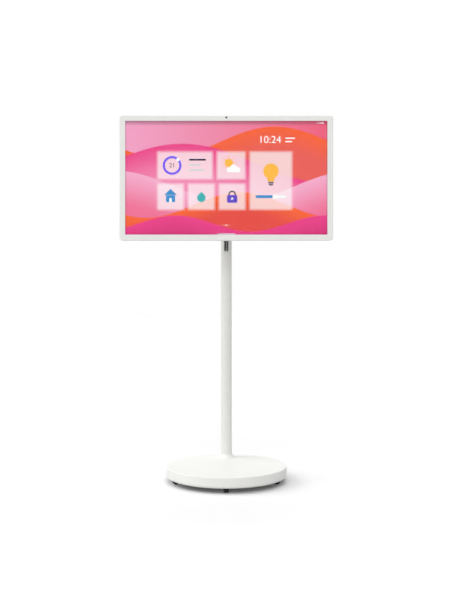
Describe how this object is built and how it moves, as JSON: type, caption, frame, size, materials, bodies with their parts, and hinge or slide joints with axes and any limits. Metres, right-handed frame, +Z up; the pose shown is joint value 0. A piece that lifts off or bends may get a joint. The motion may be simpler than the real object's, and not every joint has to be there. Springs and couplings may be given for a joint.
{
  "type": "rolling smart display",
  "caption": "White touch screen on a slim pole with a round base on casters; it slides up and down, swivels, tilts and turns upright.",
  "frame": {"origin": "on the floor, under the middle of the base and of the display's width", "axes": "+Z up, the screen faces -Y, +X to the right of someone who looks at the screen"},
  "size_m": [0.7492, 0.42, 1.278],
  "materials": {
    "white_plastic": "satin white moulded plastic",
    "white_coating": "white powder coat",
    "grey_plastic": "dark grey plastic",
    "black_plastic": "black plastic",
    "black_rubber": "black rubber tread",
    "white_acetal": "natural acetal",
    "steel": "plated steel",
    "aluminium": "plain aluminium",
    "clear_glass": "clear cover glass",
    "screen": "liquid crystal cell, lit from behind",
    "acrylic": "clear acrylic",
    "circuit_board": "green circuit board with parts",
    "battery_wrap": "blue shrink wrap over pouch cells"
  },
  "bodies": {
    "stand": {"base_cover": "white_plastic", "bottom_cover": "black_plastic", "chassis_plate": "steel", "battery_pack": "battery_wrap", "charge_board": "circuit_board", "dc_inlet": "black_plastic", "pole_foot": "steel", "pole_tube": "white_coating", "guide_channel": "grey_plastic", "pole_cap": "white_plastic", "spring_seat": "steel", "gas_spring_cylinder": "black_plastic"},
    "caster_1": {"caster_fork_1": "black_plastic", "caster_axle_1": "steel"},
    "wheel_1": {"caster_wheel_1": "black_rubber"},
    "caster_2": {"caster_fork_2": "black_plastic", "caster_axle_2": "steel"},
    "wheel_2": {"caster_wheel_2": "black_rubber"},
    "caster_3": {"caster_fork_3": "black_plastic", "caster_axle_3": "steel"},
    "wheel_3": {"caster_wheel_3": "black_rubber"},
    "caster_4": {"caster_fork_4": "black_plastic", "caster_axle_4": "steel"},
    "wheel_4": {"caster_wheel_4": "black_rubber"},
    "caster_5": {"caster_fork_5": "black_plastic", "caster_axle_5": "steel"},
    "wheel_5": {"caster_wheel_5": "black_rubber"},
    "carriage": {"carriage_block": "aluminium", "glide_pad_upper": "white_acetal", "glide_pad_lower": "white_acetal", "neck_arm": "white_coating", "gas_spring_rod": "steel"},
    "yoke": {"swivel_yoke": "white_coating", "swivel_pin": "steel"},
    "tilt": {"tilt_head": "white_coating", "tilt_pin": "steel", "friction_washer_left": "steel", "friction_washer_right": "steel", "pivot_washer": "white_acetal", "pivot_retainer": "steel"},
    "display": {"vesa_plate": "steel", "front_bezel": "white_plastic", "touch_glass": "clear_glass", "lcd_cell": "screen", "light_guide": "acrylic", "backlight_tray": "aluminium", "rear_cover": "white_plastic", "main_board": "circuit_board", "hdmi_socket": "steel", "usb_socket": "steel", "speaker_left": "black_plastic", "speaker_right": "black_plastic", "camera_module": "black_plastic", "camera_lens": "clear_glass", "button_board": "circuit_board"},
    "power": {"power_button": "grey_plastic"},
    "volume_up": {"volume_up_button": "grey_plastic"},
    "volume_down": {"volume_down_button": "grey_plastic"}
  },
  "joints": [
    {"name": "lift", "type": "slide", "parent": "stand", "child": "carriage", "axis": [0, 0, 1], "range_m": [-0.2, 0]},
    {"name": "swivel", "type": "hinge", "parent": "carriage", "child": "yoke", "pos_m": [0, 0.105, 1.0585], "axis": [0, 0, 1], "range_deg": [-45, 45]},
    {"name": "tilt", "type": "hinge", "parent": "yoke", "child": "tilt", "pos_m": [0, 0.078, 1.0585], "axis": [-1, 0, 0], "range_deg": [-10, 18]},
    {"name": "rotate", "type": "hinge", "parent": "tilt", "child": "display", "pos_m": [0, 0.05, 1.0585], "axis": [0, 1, 0], "range_deg": [-90, 90]},
    {"name": "caster_1_swivel", "type": "hinge", "parent": "stand", "child": "caster_1", "pos_m": [0, -0.1715, 0.03], "axis": [0, 0, 1], "continuous": true},
    {"name": "caster_1_roll", "type": "hinge", "parent": "caster_1", "child": "wheel_1", "pos_m": [0, -0.182, 0.012], "axis": [1, 0, 0], "continuous": true},
    {"name": "caster_2_swivel", "type": "hinge", "parent": "stand", "child": "caster_2", "pos_m": [0.16311, -0.053, 0.03], "axis": [0, 0, 1], "continuous": true},
    {"name": "caster_2_roll", "type": "hinge", "parent": "caster_2", "child": "wheel_2", "pos_m": [0.17309, -0.05624, 0.012], "axis": [0.309, 0.9511, 0], "continuous": true},
    {"name": "caster_3_swivel", "type": "hinge", "parent": "stand", "child": "caster_3", "pos_m": [0.10081, 0.13875, 0.03], "axis": [0, 0, 1], "continuous": true},
    {"name": "caster_3_roll", "type": "hinge", "parent": "caster_3", "child": "wheel_3", "pos_m": [0.10698, 0.14724, 0.012], "axis": [-0.809, 0.5878, 0], "continuous": true},
    {"name": "caster_4_swivel", "type": "hinge", "parent": "stand", "child": "caster_4", "pos_m": [-0.10081, 0.13875, 0.03], "axis": [0, 0, 1], "continuous": true},
    {"name": "caster_4_roll", "type": "hinge", "parent": "caster_4", "child": "wheel_4", "pos_m": [-0.10698, 0.14724, 0.012], "axis": [-0.809, -0.5878, 0], "continuous": true},
    {"name": "caster_5_swivel", "type": "hinge", "parent": "stand", "child": "caster_5", "pos_m": [-0.16311, -0.053, 0.03], "axis": [0, 0, 1], "continuous": true},
    {"name": "caster_5_roll", "type": "hinge", "parent": "caster_5", "child": "wheel_5", "pos_m": [-0.17309, -0.05624, 0.012], "axis": [0.309, -0.9511, 0], "continuous": true},
    {"name": "power_press", "type": "slide", "parent": "display", "child": "power", "axis": [-1, 0, 0], "range_m": [0, 0.001], "stiffness_N_per_m": 900},
    {"name": "volume_up_press", "type": "slide", "parent": "display", "child": "volume_up", "axis": [-1, 0, 0], "range_m": [0, 0.001], "stiffness_N_per_m": 900},
    {"name": "volume_down_press", "type": "slide", "parent": "display", "child": "volume_down", "axis": [-1, 0, 0], "range_m": [0, 0.001], "stiffness_N_per_m": 900}
  ]
}
